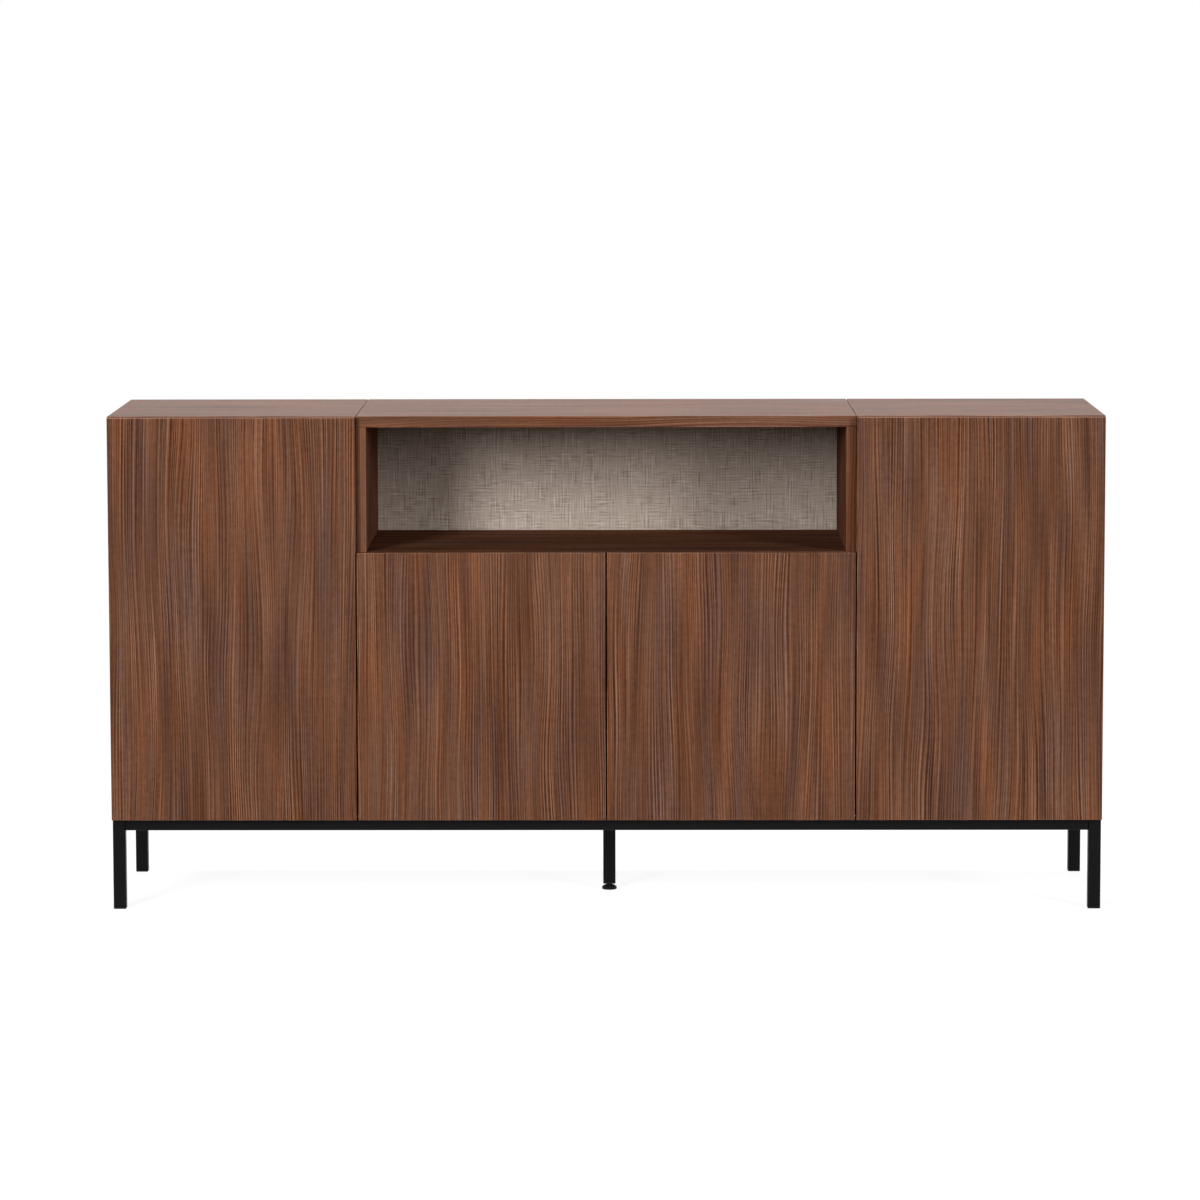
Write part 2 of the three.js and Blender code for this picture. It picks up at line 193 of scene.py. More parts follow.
def loft(loops, first_cap=True, last_cap=True, joined=False):
    """The skin through a stack of closed loops, where loops[i, j] is point j of loop i.

    Quads join (i, j), (i, j + 1), (i + 1, j + 1) and (i + 1, j). The first and the last loop are
    each capped with a flat face or left open, or they are joined to each other.
    """
    count, around = loops.shape[:2]
    index = np.arange(count * around).reshape(count, around)
    caps = [index[:1]] if first_cap and not joined else []
    caps += [index[-1:]] if last_cap and not joined else []
    if joined:
        index = np.vstack([index, index[:1]])
    near, far = index[:-1], index[1:]
    quads = np.stack([near, np.roll(near, -1, 1), np.roll(far, -1, 1), far], axis=-1)
    return loops.reshape(-1, 3), [quads.reshape(-1, 4)] + caps


def stack(outlines, heights):
    """Flat outlines as loops, each raised to its own height along the third axis."""
    outlines = np.asarray(outlines, dtype=float)
    heights = np.broadcast_to(np.asarray(heights)[:, None, None], outlines.shape[:2] + (1,))
    return np.concatenate([outlines, heights], axis=-1)


def laid(points, order, place):
    """Points whose three axes become the world axes named in order, moved to place."""
    turned = np.empty_like(points)
    for own, world in enumerate(order):
        turned[..., "xyz".index(world)] = points[..., own]
    return turned + np.asarray(place)


def full_turn(steps):
    """Evenly spaced angles round a circle."""
    return np.linspace(0.0, 2 * math.pi, steps, endpoint=False)


def on_circle(angle):
    """The points (cos a, sin a)."""
    return np.stack([np.cos(angle), np.sin(angle)], axis=-1)


def quarter_round(radius, steps):
    """Insets r (1 - sin a) and heights r (1 - cos a) of a rounded edge, for a from 0 to 90 degrees."""
    sweep = np.linspace(0.0, math.pi / 2, steps)
    return radius * (1.0 - np.sin(sweep)), radius * (1.0 - np.cos(sweep))


def rounded_rectangle(width, height, radius, steps=5):
    """Four quarter circles, each a corner's centre plus radius times (cos a, sin a)."""
    quarter = np.linspace(0.0, math.pi / 2, steps)
    angle = np.arange(4)[:, None] * math.pi / 2 + quarter
    signs = np.array([[1, 1], [-1, 1], [-1, -1], [1, -1]])
    centres = signs * np.array([width / 2 - radius, height / 2 - radius])
    return (centres[:, None, :] + radius * on_circle(angle)).reshape(-1, 2)


def make_piece(name, parts, finish, body="cabinet", stands_for=(), sharp=35.0):
    """Joins surfaces into one object: doubles merged, faces outwards, smooth but for sharp edges."""
    material, slot = finish
    counts = np.cumsum([0] + [len(points) for points, _ in parts])
    faces = [
        face
        for start, (_, blocks) in zip(counts, parts)
        for block in blocks
        for face in (block + start).tolist()
    ]
    mesh = bpy.data.meshes.new(name)
    mesh.from_pydata(np.vstack([points for points, _ in parts]).tolist(), [], faces)
    skin = bmesh.new()
    skin.from_mesh(mesh)
    bmesh.ops.remove_doubles(skin, verts=skin.verts, dist=1e-6)
    bmesh.ops.recalc_face_normals(skin, faces=skin.faces)
    skin.to_mesh(mesh)
    skin.free()
    mesh.shade_smooth()
    mesh.set_sharp_from_angle(angle=math.radians(sharp))
    mesh.materials.append(material)
    piece = link(bpy.data.objects.new(name, mesh))
    if body:
        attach(piece, body)
    if stands_for:
        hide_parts(*stands_for)
    return piece


def new_group(name, inputs, outputs):
    """An empty shader node group with named sockets: the group, what comes in, what goes out."""
    group = bpy.data.node_groups.new(name, "ShaderNodeTree")
    for label, kind in inputs.items():
        group.interface.new_socket(label, in_out="INPUT", socket_type=kind)
    for label, kind in outputs.items():
        group.interface.new_socket(label, in_out="OUTPUT", socket_type=kind)
    entry = group.nodes.new("NodeGroupInput")
    leave = group.nodes.new("NodeGroupOutput")
    return group, entry.outputs, leave.inputs


def new_finish(name, color, roughness, metallic=0.0, specular=0.5):
    """A material with one Principled shader: the material, its tree and the shader's inputs."""
    material = bpy.data.materials.new(name)
    material.use_nodes = True
    shader = material.node_tree.nodes["Principled BSDF"].inputs
    shader["Base Color"].default_value = (*color, 1.0)
    shader["Roughness"].default_value = roughness
    shader["Metallic"].default_value = metallic
    shader["Specular IOR Level"].default_value = specular
    return material, material.node_tree, shader


def scaled(tree, vector, factors):
    """A vector with each of its axes multiplied by a factor."""
    return vectored(tree, "MULTIPLY", vector, factors)[0]


def noise(tree, vector, detail=0.0, **settings):
    """Noise of one cycle or so a unit of the vector: its value and its colour."""
    inputs = {"Vector": vector, "Scale": 1.0, "Detail": detail}
    return put(tree, "ShaderNodeTexNoise", inputs, **settings)


def between(tree, value, low, high, to_low=0.0, to_high=1.0):
    """A value carried smoothly from the range low to high onto another range."""
    return put(
        tree,
        "ShaderNodeMapRange",
        {"Value": value, "From Min": low, "From Max": high, "To Min": to_low, "To Max": to_high},
        interpolation_type="SMOOTHSTEP",
    )["Result"]


def mixed(tree, factor, first, second, blend="MIX"):
    """Two colours mixed by a factor."""
    first_color, second_color = 6, 7
    return put(
        tree,
        "ShaderNodeMix",
        {0: factor, first_color: first, second_color: second},
        data_type="RGBA",
        blend_type=blend,
    )[2]


def bumped(tree, shader, height, distance):
    """Raises a surface by a height map, so many metres from 0 to 1."""
    normal = put(tree, "ShaderNodeBump", {"Height": height, "Strength": 1.0, "Distance": distance})
    tree.links.new(normal[0], shader["Normal"])


# The fine mottle of a moulded, sprayed or plated surface, at a size given in cycles a metre.
mottle, mottle_in, mottle_out = new_group(
    "fine_mottle",
    {
        "Vector": "NodeSocketVector",
        "Cycles": "NodeSocketFloat",
        "Dark": "NodeSocketColor",
        "Light": "NodeSocketColor",
        "Smooth": "NodeSocketFloat",
        "Rough": "NodeSocketFloat",
    },
    {"Color": "NodeSocketColor", "Roughness": "NodeSocketFloat", "Height": "NodeSocketFloat"},
)
mottle_place = put(
    mottle,
    "ShaderNodeVectorMath",
    {0: mottle_in["Vector"], "Scale": mottle_in["Cycles"]},
    operation="SCALE",
)[0]
mottle_fine = noise(mottle, mottle_place, detail=2.0)["Fac"]
mottle_broad = noise(mottle, scaled(mottle, mottle_place, (0.02, 0.02, 0.02)), detail=3.0)["Fac"]
mottle_share = between(mottle, calculated(mottle, "ADD", mottle_fine, mottle_broad), 0.6, 1.4)
mottle.links.new(
    mixed(mottle, mottle_share, mottle_in["Dark"], mottle_in["Light"]), mottle_out["Color"]
)
mottle_gloss = put(
    mottle,
    "ShaderNodeMapRange",
    {
        "Value": mottle_broad,
        "From Min": 0.3,
        "From Max": 0.7,
        "To Min": mottle_in["Smooth"],
        "To Max": mottle_in["Rough"],
    },
)
mottle.links.new(mottle_gloss["Result"], mottle_out["Roughness"])
mottle.links.new(mottle_fine, mottle_out["Height"])


def mottled_finish(
    name, slot, dark, light, smooth, rough, cycles, relief, metallic=0.0, specular=0.5
):
    """A material whose colour, gloss and relief follow the fine mottle, and its slot."""
    material, tree, shader = new_finish(name, light, rough, metallic, specular)
    surface = put(
        tree,
        "ShaderNodeGroup",
        {
            "Vector": put(tree, "ShaderNodeTexCoord", {})["Object"],
            "Cycles": cycles,
            "Dark": (*dark, 1.0),
            "Light": (*light, 1.0),
            "Smooth": smooth,
            "Rough": rough,
        },
        node_tree=mottle,
    )
    tree.links.new(surface["Color"], shader["Base Color"])
    tree.links.new(surface["Roughness"], shader["Roughness"])
    bumped(tree, shader, surface["Height"], relief)
    return material, slot


def node_box(node):
    """A CAD node's lowest and highest corner as arrays."""
    low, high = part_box(node)
    return np.array(low), np.array(high)


powder_black = mottled_finish(
    "powder_black",
    "black_steel",
    dark=(0.003, 0.003, 0.0035),
    light=(0.0065, 0.0065, 0.0075),
    smooth=0.36,
    rough=0.5,
    cycles=900.0,
    relief=0.00005,
    specular=0.1,
)
rail_low, rail_high = node_box("base_front_rail")
tube_side = rail_high[2] - rail_low[2]
tube_wall = 0.0015
tube_round = 0.0025
tube_ease = 0.0004


def tube_outline(inset):
    """The tube's square outline with round corners, drawn in by an inset."""
    least_round = 0.0006
    side_left = tube_side - 2 * inset
    return rounded_rectangle(side_left, side_left, max(tube_round - inset, least_round))


tube_outer = tube_outline(0.0)
tube_eased = tube_outline(tube_ease)
tube_inner = tube_outline(tube_wall)


def open_tube(length):
    """The tube's wall as a closed ring of loops: inside, round one end, outside and back in."""
    outlines = [tube_inner, tube_eased, tube_outer, tube_outer, tube_eased, tube_inner]
    return stack(outlines, [0.0, 0.0, tube_ease, length - tube_ease, length, length])


def closed_leg(height):
    """A tube that is open below: up the inside to a cap, and up the outside to another."""
    outlines = [tube_inner, tube_inner, tube_eased, tube_outer, tube_outer, tube_eased]
    return stack(outlines, [height - tube_wall, 0.0, 0.0, tube_ease, height - tube_ease, height])


def resampled(path, count):
    """A path's points spread evenly along its length."""
    lengths = np.linalg.norm(np.diff(path, axis=0), axis=1)
    run = np.concatenate([[0.0], np.cumsum(lengths)])
    even = np.linspace(0.0, run[-1], count)
    return np.stack([np.interp(even, run, axis) for axis in path.T], axis=-1)


def weld_bead(radius, ripple, ripples):
    """A bead along the tube's two sides and underside, where it meets a leg.

    Point (s, a) is path(s) + r(s) (cos a outwards + sin a along the tube), and r(s) swells a
    little in each ripple.
    """
    points_a_ripple, points_around = 12, 8
    steps = len(tube_outer) // 4
    sides_and_underside = np.vstack([tube_outer[2 * steps - 1 :], tube_outer[:1]])
    path = resampled(sides_and_underside, points_a_ripple * ripples + 1)
    ahead_2d = np.gradient(path, axis=0)
    ahead_2d /= np.linalg.norm(ahead_2d, axis=1, keepdims=True)
    outward = np.stack([ahead_2d[:, 1], -ahead_2d[:, 0]], axis=-1)
    swell = np.linspace(0.0, 2 * math.pi * ripples, len(path))
    reach = radius * (1.0 + ripple * np.cos(swell))[:, None]
    angle = full_turn(points_around)
    flat = path[:, None, :] + (reach * np.cos(angle))[..., None] * outward[:, None, :]
    return np.concatenate([flat, (reach * np.sin(angle))[..., None]], axis=-1)


bead = weld_bead(radius=0.0007, ripple=0.15, ripples=16)
for side in ("left", "right"):
    low, high = node_box(f"base_{side}_frame")
    middle_x = (low[0] + high[0]) / 2
    rail_z = high[2] - tube_side / 2
    leg_rows = (low[1] + tube_side / 2, high[1] - tube_side / 2)
    weld_rows = (low[1] + tube_side, high[1] - tube_side)
    rail = open_tube(weld_rows[1] - weld_rows[0])
    tubes = [loft(closed_leg(high[2] - low[2]) + (middle_x, y, low[2])) for y in leg_rows]
    tubes.append(loft(laid(rail, "xzy", (middle_x, weld_rows[0], rail_z)), joined=True))
    tubes += [loft(laid(bead, "xzy", (middle_x, y, rail_z))) for y in weld_rows]
    make_piece(f"{side}_end_frame", tubes, powder_black, stands_for=[f"base_{side}_frame"])

for place in ("front", "rear"):
    low, high = node_box(f"base_{place}_rail")
    rail_centre = (low + high) / 2
    rail = laid(open_tube(high[0] - low[0]), "yzx", (low[0], rail_centre[1], rail_centre[2]))
    make_piece(
        f"{place}_long_rail", [loft(rail, joined=True)], powder_black, stands_for=[f"base_{place}_rail"]
    )

insert_rim = 0.0032
insert_gap = 0.0003
low, high = node_box("base_centre_frame")
centre_leg = (low + high) / 2
centre_leg_foot = low[2]
cross_rail = laid(open_tube(high[1] - low[1]), "xzy", (centre_leg[0], low[1], high[2] - tube_side / 2))
leg_start = centre_leg_foot + insert_rim + insert_gap
leg_tube = open_tube(high[2] - tube_side - leg_start) + (*centre_leg[:2], leg_start)
make_piece(
    "centre_frame",
    [loft(cross_rail, joined=True), loft(leg_tube, joined=True)],
    powder_black,
    stands_for=["base_centre_frame"],
)


# Feet. Black plastic glides with a rounded sole are driven into the four legs. The centre leg
# has a plastic insert with a levelling foot: a zinc-plated screw in a moulded pad with a collar.

black_moulding = mottled_finish(
    "black_moulding",
    "black_plastic",
    dark=(0.008, 0.008, 0.008),
    light=(0.016, 0.016, 0.016),
    smooth=0.42,
    rough=0.58,
    cycles=1400.0,
    relief=0.00004,
    specular=0.12,
)
zinc_plate = mottled_finish(
    "zinc_plate",
    "zinc_steel",
    dark=(0.42, 0.43, 0.44),
    light=(0.62, 0.63, 0.63),
    smooth=0.26,
    rough=0.42,
    cycles=700.0,
    relief=0.00002,
    metallic=1.0,
)


def moulded_glide(height, plug_length, sole_round):
    """Up a quarter round from the sole to the full square, in to the plug, and up the plug."""
    insets, heights = quarter_round(sole_round, 6)
    plug_inset = tube_wall + insert_gap
    plug_straight = 0.9 * plug_length
    insets = np.concatenate([insets, [0.0, tube_ease, plug_inset, plug_inset, 2 * plug_inset]])
    tops = [height - tube_ease, height, height, height + plug_straight, height + plug_length]
    outlines = [tube_outline(inset) for inset in insets]
    return stack(outlines, np.concatenate([heights, tops]))


glide_height = 0.004
for place in ("front", "rear"):
    for side in ("left", "right"):
        low, high = node_box(f"{place}_{side}_glide")
        middle = (low + high) / 2
        glide = moulded_glide(glide_height, high[2] - low[2] - glide_height, sole_round=0.0015)
        make_piece(
            f"{place}_{side}_foot_glide",
            [loft(glide + (*middle[:2], low[2]))],
            black_moulding,
            stands_for=[f"{place}_{side}_glide"],
        )


def round_hole(outline, radius):
    """A circle whose points lie in the same directions from the middle as an outline's points."""
    return radius * outline / np.linalg.norm(outline, axis=1, keepdims=True)


insert_hole_radius = 0.0044
insert_hole = round_hole(tube_outer, insert_hole_radius)
insert_plug = tube_outline(tube_wall + insert_gap)
insert_outlines = [insert_hole, tube_eased, tube_outer, tube_outer, tube_eased, insert_plug]
insert_outlines += [insert_plug, insert_hole]
insert_heights = [0.0, 0.0, tube_ease, insert_rim - tube_ease, insert_rim, insert_rim]
insert_depth = 0.014
insert_heights += [insert_depth, insert_depth]
insert = stack(insert_outlines, insert_heights) + (*centre_leg[:2], centre_leg_foot)
make_piece("centre_leg_insert", [loft(insert, joined=True)], black_moulding)

# Shapes that are carried round an axis are closed by a tiny face on it.
pole_radius = 0.0004


def turned(profile, steps=48, sides=0, from_row=0, to_row=0):
    """A profile of (radius, height) carried round the upright axis.

    Rows from from_row up to to_row follow a regular polygon: their radius is that of the flats
    over the cosine of the angle from the nearest flat's middle.
    """
    profile = np.asarray(profile, dtype=float)
    angle = full_turn(steps)
    reach = np.repeat(profile[:, :1], steps, axis=1)
    if sides:
        slice_angle = 2 * math.pi / sides
        off_flat = np.mod(angle + slice_angle / 2, slice_angle) - slice_angle / 2
        reach[from_row:to_row] /= np.cos(off_flat)
    outlines = reach[..., None] * on_circle(angle)
    return stack(outlines, profile[:, 1])


pad_low, pad_high = node_box("levelling_pad")
pad_rim = (pad_high[0] - pad_low[0]) / 2
pad_crown = pad_high[2] - pad_low[2]
pad_shoulder = pad_crown - 0.0027
pad_wall = 0.0045
dome_top = 0.0072
pad_round = 0.0016
socket_radius, socket_depth = 0.0043, 0.004
collar_flat, collar_ease = 0.0056, 0.0003
hollow_height = 0.0012
hollow_foot = pad_rim - 0.0032
hollow_edge = hollow_foot - 0.0003
pad_profile = [(pole_radius, hollow_height), (hollow_edge, hollow_height), (hollow_foot, 0.0)]
pad_sweep = np.linspace(-math.pi / 2, 0.0, 6)
sole_radius = pad_rim - pad_round + pad_round * np.cos(pad_sweep)
sole_height = pad_round + pad_round * np.sin(pad_sweep)
pad_profile += list(zip(sole_radius, sole_height))
# The dome falls from the collar's foot to the upright wall by a power of the way outwards.
outwards = np.linspace(1.0, 0.0, 8)
dome_radius = dome_top + (pad_rim - dome_top) * outwards
dome_power = 1.6
dome_height = pad_shoulder - (pad_shoulder - pad_wall) * outwards**dome_power
pad_profile += list(zip(dome_radius, dome_height))
collar_row = len(pad_profile)
pad_profile += [(collar_flat, pad_shoulder), (collar_flat, pad_crown - collar_ease)]
pad_profile += [(collar_flat - collar_ease, pad_crown)]
collar_end = len(pad_profile)
socket_floor = pad_crown - socket_depth
pad_profile += [(socket_radius, pad_crown), (socket_radius, socket_floor), (pole_radius, socket_floor)]
pad_centre = ((pad_low[0] + pad_high[0]) / 2, (pad_low[1] + pad_high[1]) / 2)
pad = turned(pad_profile, 60, sides=6, from_row=collar_row, to_row=collar_end)
make_piece(
    "levelling_foot_pad",
    [loft(pad + (*pad_centre, pad_low[2]))],
    black_moulding,
    "levelling_foot",
    ["levelling_pad"],
)


def threaded_rod(radius, depth, pitch, length):
    """A rod whose radius falls by a triangle wave of height / pitch less turn, faded at its ends."""
    steps, rows_a_turn = 24, 6
    heights = np.linspace(0.0, length, int(length / pitch * rows_a_turn))
    angle = full_turn(steps)
    phase = np.mod(heights[:, None] / pitch - angle / (2 * math.pi), 1.0)
    groove = 1.0 - np.abs(2.0 * phase - 1.0)
    fade = np.clip(np.minimum(heights, length - heights) / pitch, 0.0, 1.0)[:, None]
    reach = radius - depth * (groove * fade + (1.0 - fade))
    outlines = reach[..., None] * on_circle(angle)
    return stack(outlines, heights)


screw_low, screw_high = node_box("levelling_screw")
screw_length = screw_high[2] - screw_low[2]
rod = threaded_rod(radius=0.004, depth=0.00062, pitch=0.00125, length=screw_length)
make_piece(
    "levelling_foot_screw",
    [loft(rod + (*pad_centre, screw_low[2]))],
    zinc_plate,
    "levelling_foot",
    ["levelling_screw"],
    sharp=80.0,
)


# Cabinet boards. Chipboard faced with a matt walnut laminate and edged with the same, the grain
# upright in the sides and lengthwise in the tops, bottoms and shelves. Dowels and cams hold
# them, and every edge is eased.


def linear(red, green, blue):
    """A colour given in 0 to 255 as display values, in the shader's linear values."""
    shares = np.array([red, green, blue]) / 255.0
    curved = np.where(shares <= 0.04045, shares / 12.92, ((shares + 0.055) / 1.055) ** 2.4)
    return tuple(curved.tolist())


def summed(tree, pairs, total=0.0):
    """A start plus each value times its weight."""
    for value, weight in pairs:
        total = calculated(tree, "MULTIPLY_ADD", value, weight, total)
    return total


def displaced(tree, vector, cycles, reach):
    """A vector moved by noise of so many cycles a metre on each axis, up to a reach on each."""
    shift = noise(tree, scaled(tree, vector, cycles))["Color"]
    return vectored(tree, "MULTIPLY_ADD", shift, reach, vector)[0]


# Walnut grain along the third axis. Slow noise sways the whole figure, and quicker noise makes
# the growth rings lean in it. The rings are a sine across the grain with lines, hairs and flecks
# of stretched noise, and broad bands and hues lie under them. Each layer shifts the logarithm of
# the base colour along a tint of its own: dark rings redder, light ones paler. Tone lightens a
# stretch of it, and Figure weakens or strengthens the rings.
walnut_grain, grain_in, grain_out = new_group(
    "walnut_grain",
    {"Vector": "NodeSocketVector", "Tone": "NodeSocketFloat", "Figure": "NodeSocketFloat"},
    {"Color": "NodeSocketColor", "Roughness": "NodeSocketFloat", "Height": "NodeSocketFloat"},
)


def veneer_sheet(vector):
    """The distance across the rings, and the sheet of that distance and the one along them."""
    ring_normal = (1.0, 0.8, 0.0)
    across = vectored(walnut_grain, "DOT_PRODUCT", vector, ring_normal)["Value"]
    along = put(walnut_grain, "ShaderNodeSeparateXYZ", {0: vector})["Z"]
    return across, put(walnut_grain, "ShaderNodeCombineXYZ", {"X": across, "Y": along})[0]


def grain_noise(sheet, across, along, detail=0.0):
    """Noise round nought on a sheet, in cycles a metre across and along the grain."""
    stretched = scaled(walnut_grain, sheet, (across, along, 0.0))
    value = noise(walnut_grain, stretched, detail, noise_dimensions="2D")["Fac"]
    return calculated(walnut_grain, "SUBTRACT", value, 0.5)


swayed = displaced(walnut_grain, grain_in["Vector"], (4.0, 4.0, 1.0), (0.016, 0.016, 0.0))
leaning = displaced(walnut_grain, swayed, (16.0, 16.0, 3.2), (0.017, 0.017, 0.0))
broad_sheet = veneer_sheet(swayed)[1]
ring_place, ring_sheet = veneer_sheet(leaning)
ring_width = 0.0047
ring_wander = 10.0
ring_turn = summed(
    walnut_grain,
    [(ring_place, 2 * math.pi / ring_width), (grain_noise(ring_sheet, 90.0, 1.2), ring_wander)],
)
ring_wave = calculated(walnut_grain, "SINE", ring_turn)
ring_strength = between(
    walnut_grain, grain_noise(ring_sheet, 60.0, 2.0), -0.15, 0.15, to_low=0.35, to_high=1.0
)
rings = calculated(walnut_grain, "MULTIPLY", ring_wave, ring_strength)
lines = grain_noise(ring_sheet, 340.0, 2.5)
hairs = grain_noise(ring_sheet, 1000.0, 3.0)
flecks = grain_noise(ring_sheet, 90.0, 110.0, detail=1.0)
figure_strength = between(
    walnut_grain, grain_noise(broad_sheet, 24.0, 2.4), -0.17, 0.18, to_low=0.75, to_high=1.1
)
even_figure = calculated(
    walnut_grain,
    "MULTIPLY",
    summed(walnut_grain, [(rings, 0.37), (lines, 0.08), (hairs, 1.12), (flecks, 0.24)]),
    calculated(walnut_grain, "MULTIPLY", figure_strength, grain_in["Figure"]),
)
# Light lines are held back and dark ones deepened.
dark_bias = 0.35
figure = calculated(
    walnut_grain,
    "MULTIPLY",
    even_figure,
    calculated(walnut_grain, "MULTIPLY_ADD", even_figure, -dark_bias, 1.0),
)
bands = summed(
    walnut_grain,
    [
        (grain_noise(broad_sheet, 12.0, 2.0), 0.34),
        (grain_noise(broad_sheet, 40.0, 3.2, detail=1.0), 1.0),
    ],
)
hue = summed(
    walnut_grain,
    [(grain_noise(broad_sheet, 20.0, 3.0), 0.7), (grain_noise(broad_sheet, 60.0, 4.0), 0.9)],
)
pores = between(walnut_grain, grain_noise(ring_sheet, 1500.0, 30.0), 0.12, 0.22)
walnut_brown = linear(110, 72, 53)
shade = tuple(math.log(share) for share in walnut_brown)
tints = [
    (grain_in["Tone"], (1.0, 1.0, 1.0)),
    (figure, (1.28, 1.76, 2.16)),
    (bands, (0.92, 0.98, 0.94)),
    (hue, (0.31, 0.03, -0.40)),
    (pores, (-0.22, -0.25, -0.25)),
]
for layer, tint in tints:
    shade = vectored(walnut_grain, "MULTIPLY_ADD", layer, tint, shade)[0]
shade_parts = put(walnut_grain, "ShaderNodeSeparateXYZ", {0: shade})
brown = put(
    walnut_grain,
    "ShaderNodeCombineXYZ",
    {part: calculated(walnut_grain, "EXPONENT", shade_parts[part]) for part in "XYZ"},
)[0]
walnut_grain.links.new(brown, grain_out["Color"])
dull, glossy = 0.45, 0.37
gloss = between(walnut_grain, figure, -0.3, 0.3, to_low=dull, to_high=glossy)
walnut_grain.links.new(gloss, grain_out["Roughness"])
relief = summed(walnut_grain, [(figure, 0.6), (pores, -0.5)])
walnut_grain.links.new(relief, grain_out["Height"])


def walnut_finish(name, grain_axis, edge_axis, shift, specular=0.1, painted_sheen_strip_tone=None):
    """Walnut laminate cut at its own place, with the grain along one axis.

    Faces that look along the grain are edge strips, and their grain runs along the edge axis. A
    board with a strip tone has a calmer strip on its front edge, which looks along Y, painted
    paler by that tone as a painted sheen. Eased edges are painted paler than the faces beside
    them, a painted highlight.
    """
    # The tone of the painted highlight on the eased edges.
    painted_highlight_tone = 0.8
    strip_figure = 0.6
    grain_relief = 0.00012
    face_on = 0.7
    eased_off, flat_on = 0.86, 0.98
    material, tree, shader = new_finish(name, walnut_brown, roughness=0.4, specular=specular)
    surface = put(tree, "ShaderNodeTexCoord", {})
    place = put(tree, "ShaderNodeSeparateXYZ", {0: surface["Object"]})
    facing = put(tree, "ShaderNodeSeparateXYZ", {0: surface["Normal"]})

    def grained(axis):
        first, second = [other for other in "XYZ" if other != axis]
        return put(
            tree, "ShaderNodeCombineXYZ", {"X": place[first], "Y": place[second], "Z": place[axis]}
        )[0]

    squareness = {axis: calculated(tree, "ABSOLUTE", facing[axis]) for axis in "XYZ"}
    squarest = calculated(tree, "MAXIMUM", squareness["X"], squareness["Y"])
    squarest = calculated(tree, "MAXIMUM", squarest, squareness["Z"])
    # Painted highlight: eased edges are lightened where their normals lean away from the faces.
    painted_highlight_mask = between(tree, squarest, eased_off, flat_on, to_low=1.0, to_high=0.0)
    tone = calculated(tree, "MULTIPLY", painted_highlight_mask, painted_highlight_tone)
    figure_share = 1.0
    # Painted sheen: the front strip is lightened by the strip tone.
    if painted_sheen_strip_tone is not None:
        is_strip = calculated(tree, "GREATER_THAN", squareness["Y"], face_on)
        tone = summed(tree, [(is_strip, painted_sheen_strip_tone)], total=tone)
        figure_share = summed(tree, [(is_strip, strip_figure - 1.0)], total=1.0)
    is_edge = calculated(tree, "GREATER_THAN", squareness[grain_axis], face_on)
    cut = put(
        tree,
        "ShaderNodeMix",
        {"Factor": is_edge, 4: grained(grain_axis), 5: grained(edge_axis)},
        data_type="VECTOR",
    )[1]
    moved = vectored(tree, "ADD", cut, shift)[0]
    grain = put(
        tree,
        "ShaderNodeGroup",
        {"Vector": moved, "Tone": tone, "Figure": figure_share},
        node_tree=walnut_grain,
    )
    tree.links.new(grain["Color"], shader["Base Color"])
    tree.links.new(grain["Roughness"], shader["Roughness"])
    bumped(tree, shader, grain["Height"], grain_relief)
    return material, "walnut_board"


def edge_profile(thickness, ease):
    """Insets and heights up an eased edge: a flat rim, a quarter round, the edge and back in."""
    rim = 2.5 * ease
    round_insets, round_heights = quarter_round(ease, 5)
    insets = np.concatenate([[rim], round_insets])
    heights = np.concatenate([[0.0], round_heights])
    both_heights = np.concatenate([heights, thickness - heights[::-1]])
    return np.concatenate([insets, insets[::-1]]), both_heights


def eased_board(low, high, ease):
    """A board between two corners: its outline, drawn in by the edge profile's insets, as loops."""
    least_round = 0.0002
    size = high - low
    thin = int(np.argmin(size))
    across, along = [axis for axis in range(3) if axis != thin]
    insets, heights = edge_profile(size[thin], ease)
    outlines = [
        rounded_rectangle(
            size[across] - 2 * inset, size[along] - 2 * inset, max(ease - inset, least_round), steps=4
        )
        for inset in insets
    ]
    order = "".join("xyz"[axis] for axis in (across, along, thin))
    place = (low + high) / 2
    place[thin] = low[thin]
    return loft(laid(stack(outlines, heights), order, place))


def drawn_in(low, high, seams, inset):
    """A board's corners, moved in across wherever they lie on a seam between two cabinets."""
    near = 0.001
    low[0] += inset * np.any(np.abs(seams - low[0]) < near)
    high[0] -= inset * np.any(np.abs(seams - high[0]) < near)
    return low, high


board_ease = 0.0009
board_sheen = 0.115
seam_inset = 0.0005
seam_places = np.array([corner[0] for corner in node_box("centre_cabinet_top")])
# Each kind of board: the axis of its grain and that of the strips on its ends.
board_axes = {
    "left_side": "ZY",
    "right_side": "ZY",
    "back": "ZX",
    "top": "XY",
    "bottom": "XY",
    "shelf": "XY",
}
cabinet_boards = [
    (f"{cabinet}_cabinet_{board}", axes)
    for cabinet in ("left", "centre", "right")
    for board, axes in board_axes.items()
]
cabinet_boards.append(("niche_floor", "XY"))
# Painted sheen: the front strips of the upright boards are painted paler than those of the level ones.
painted_sheen_strip_tones = {"_side": 0.24, "_top": 0.0, "_bottom": 0.0, "_shelf": 0.0, "_floor": 0.0}
